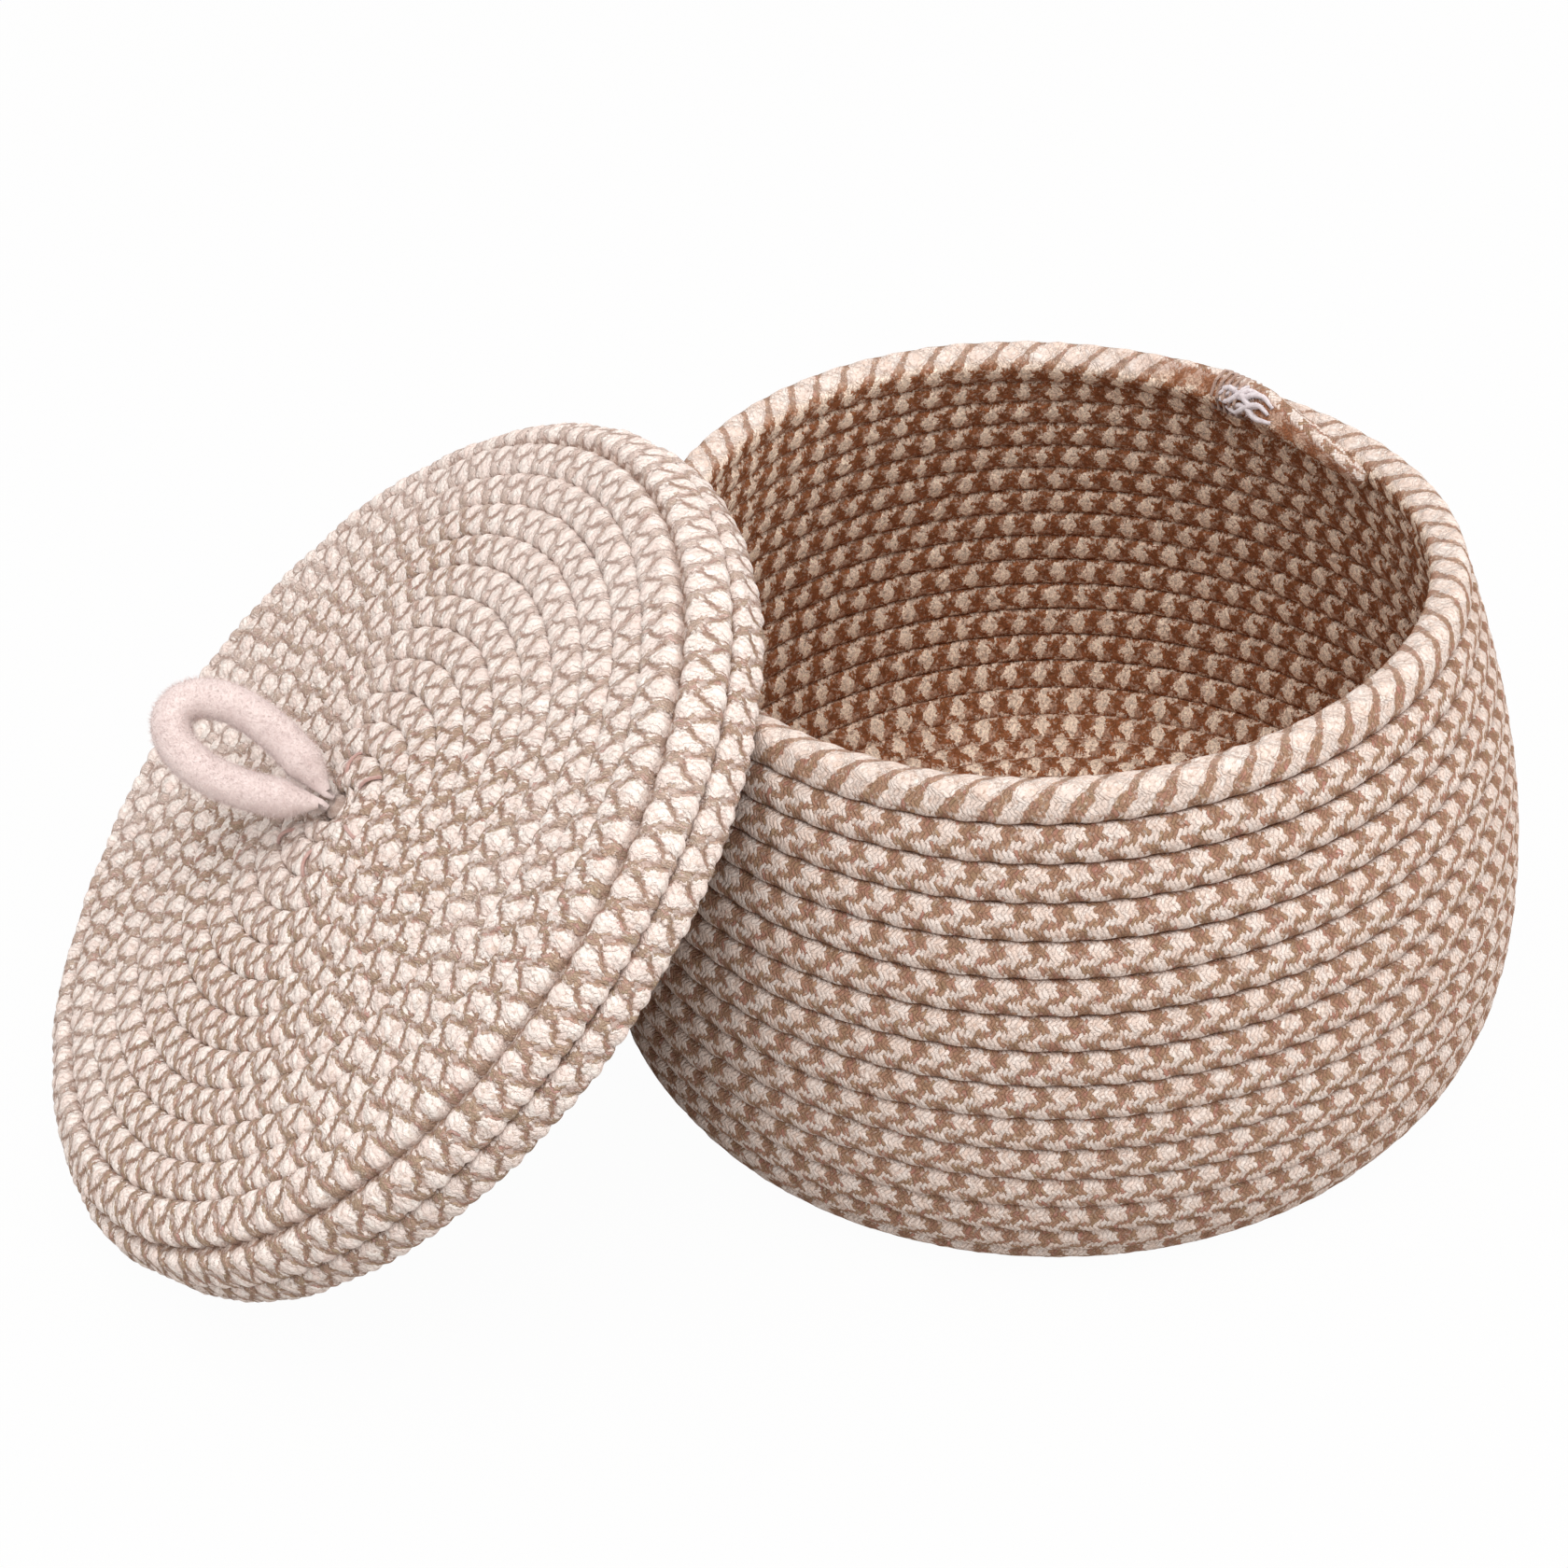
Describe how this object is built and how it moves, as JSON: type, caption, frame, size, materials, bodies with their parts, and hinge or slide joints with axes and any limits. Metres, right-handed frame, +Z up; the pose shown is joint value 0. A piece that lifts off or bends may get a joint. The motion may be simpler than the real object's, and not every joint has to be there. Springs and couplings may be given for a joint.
{
  "type": "knitting basket",
  "caption": "Round belly-shaped basket coiled from two-colour braided cotton rope, with a loose coiled lid leaned on its rim and a soft cord loop on the lid.",
  "frame": {"origin": "on the basket's own axis, on the flat underside of the base coil, in the surface that the basket stands on", "axes": "+Z up along the basket's axis; -X towards the side on which the lid leans; +Y away from the picture's camera"},
  "size_m": [0.3769, 0.277, 0.1621],
  "materials": {
    "braided_rope": "matte two-colour braided cotton rope",
    "lid_rope": "matte two-colour braided cotton rope, the paler look of the lid",
    "pale_cord": "soft matte felted cord",
    "lilac_thread": "matte sewing thread",
    "rose_thread": "matte sewing thread"
  },
  "bodies": {
    "basket": {"base_coil": "braided_rope", "wall_coil": "braided_rope", "rim_whipping": "lilac_thread"},
    "lid": {"lid_dome_coil": "lid_rope", "lid_skirt_coil": "lid_rope", "loop_knot": "pale_cord", "loop_stitch_1": "rose_thread", "loop_stitch_2": "rose_thread", "loop_stitch_3": "rose_thread", "loop_stitch_4": "rose_thread", "loop_stitch_5": "rose_thread"},
    "loop": {"loop_handle": "pale_cord"}
  },
  "joints": [
    {"name": "lid_lift", "type": "slide", "parent": "basket", "child": "lid", "axis": [0, 0, 1], "range_m": [0, 0.2]},
    {"name": "loop_flop", "type": "hinge", "parent": "lid", "child": "loop", "pos_m": [-0.17546, -0.04919, 0.09939], "axis": [0.4849, 0.6666, 0.5661], "range_deg": [-34, 106]}
  ]
}
